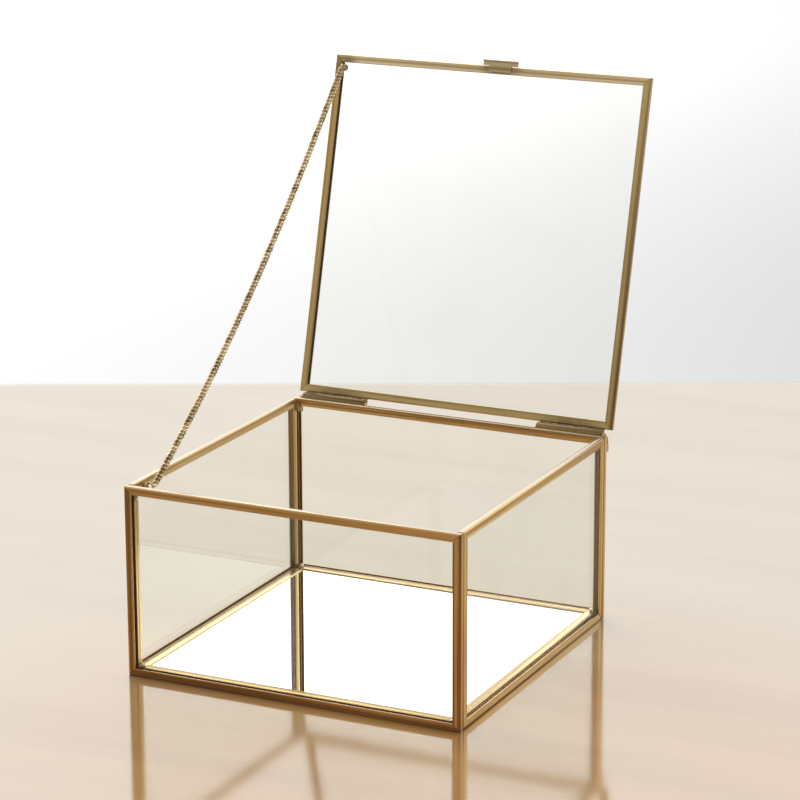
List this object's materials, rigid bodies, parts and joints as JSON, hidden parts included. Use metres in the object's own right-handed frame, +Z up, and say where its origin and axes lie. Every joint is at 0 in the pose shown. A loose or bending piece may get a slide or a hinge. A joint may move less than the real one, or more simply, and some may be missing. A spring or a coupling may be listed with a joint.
{
  "type": "jewelry box",
  "caption": "Square glass display box edged in folded brass channel, with a mirror floor and a hinged glass lid held open by a fine chain.",
  "frame": {"origin": "middle of the underside of the bounding box with the lid open, on the resting plane", "axes": "+Z up, -Y towards the front, +X to the right of someone facing the front, along the lid's hinge"},
  "size_m": [0.15, 0.1966, 0.2311],
  "materials": {
    "brass": "satin, slightly tarnished",
    "hinge_brass": "dull, heat-darkened",
    "chain_brass": "polished",
    "glass": "clear",
    "mirror": "silvered",
    "solder": "dull"
  },
  "bodies": {
    "box": {"back_glass": "glass", "back_rail_bottom": "brass", "back_rail_left": "brass", "back_rail_right": "brass", "back_rail_top": "brass", "base_rail_bottom": "brass", "base_rail_left": "brass", "base_rail_right": "brass", "base_rail_top": "brass", "chain_ring_box": "chain_brass", "chain_solder_box": "solder", "floor_solder_back_left": "solder", "floor_solder_back_right": "solder", "floor_solder_front_left": "solder", "floor_solder_front_right": "solder", "front_glass": "glass", "front_rail_bottom": "brass", "front_rail_left": "brass", "front_rail_right": "brass", "front_rail_top": "brass", "hinge_pin_left": "hinge_brass", "hinge_pin_right": "hinge_brass", "left_glass": "glass", "left_rail_bottom": "brass", "left_rail_left": "brass", "left_rail_right": "brass", "left_rail_top": "brass", "mirror": "mirror", "pin_solder_left": "solder", "pin_solder_right": "solder", "right_glass": "glass", "right_rail_bottom": "brass", "right_rail_left": "brass", "right_rail_right": "brass", "right_rail_top": "brass", "rim_solder_back_left": "solder", "rim_solder_back_right": "solder", "rim_solder_front_left": "solder", "rim_solder_front_right": "solder"},
    "lid": {"chain_ring_lid": "chain_brass", "chain_solder_lid": "solder", "chain_upper": "chain_brass", "hinge_barrel_left": "hinge_brass", "hinge_barrel_right": "hinge_brass", "hinge_solder_left": "solder", "hinge_solder_right": "solder", "lid_glass": "glass", "lid_rail_bottom": "brass", "lid_rail_left": "brass", "lid_rail_right": "brass", "lid_rail_top": "brass", "lift_tab": "hinge_brass"},
    "chain_foot": {"chain_lower": "chain_brass"}
  },
  "joints": [
    {"name": "lid_hinge", "type": "hinge", "parent": "box", "child": "lid", "pos_m": [0, 0.05411, 0.0808], "axis": [1, 0, 0], "range_deg": [0, 105.1], "deforming": ["chain_upper"]},
    {"name": "chain_swing", "type": "hinge", "parent": "box", "child": "chain_foot", "pos_m": [-0.0696, -0.08584, 0.0786], "axis": [1, 0, 0], "range_deg": [-70, 0], "deforming": ["chain_lower"]}
  ],
  "couplings": [
    {"joint": "chain_swing", "follows": "lid_hinge", "ratio": -0.6577}
  ]
}
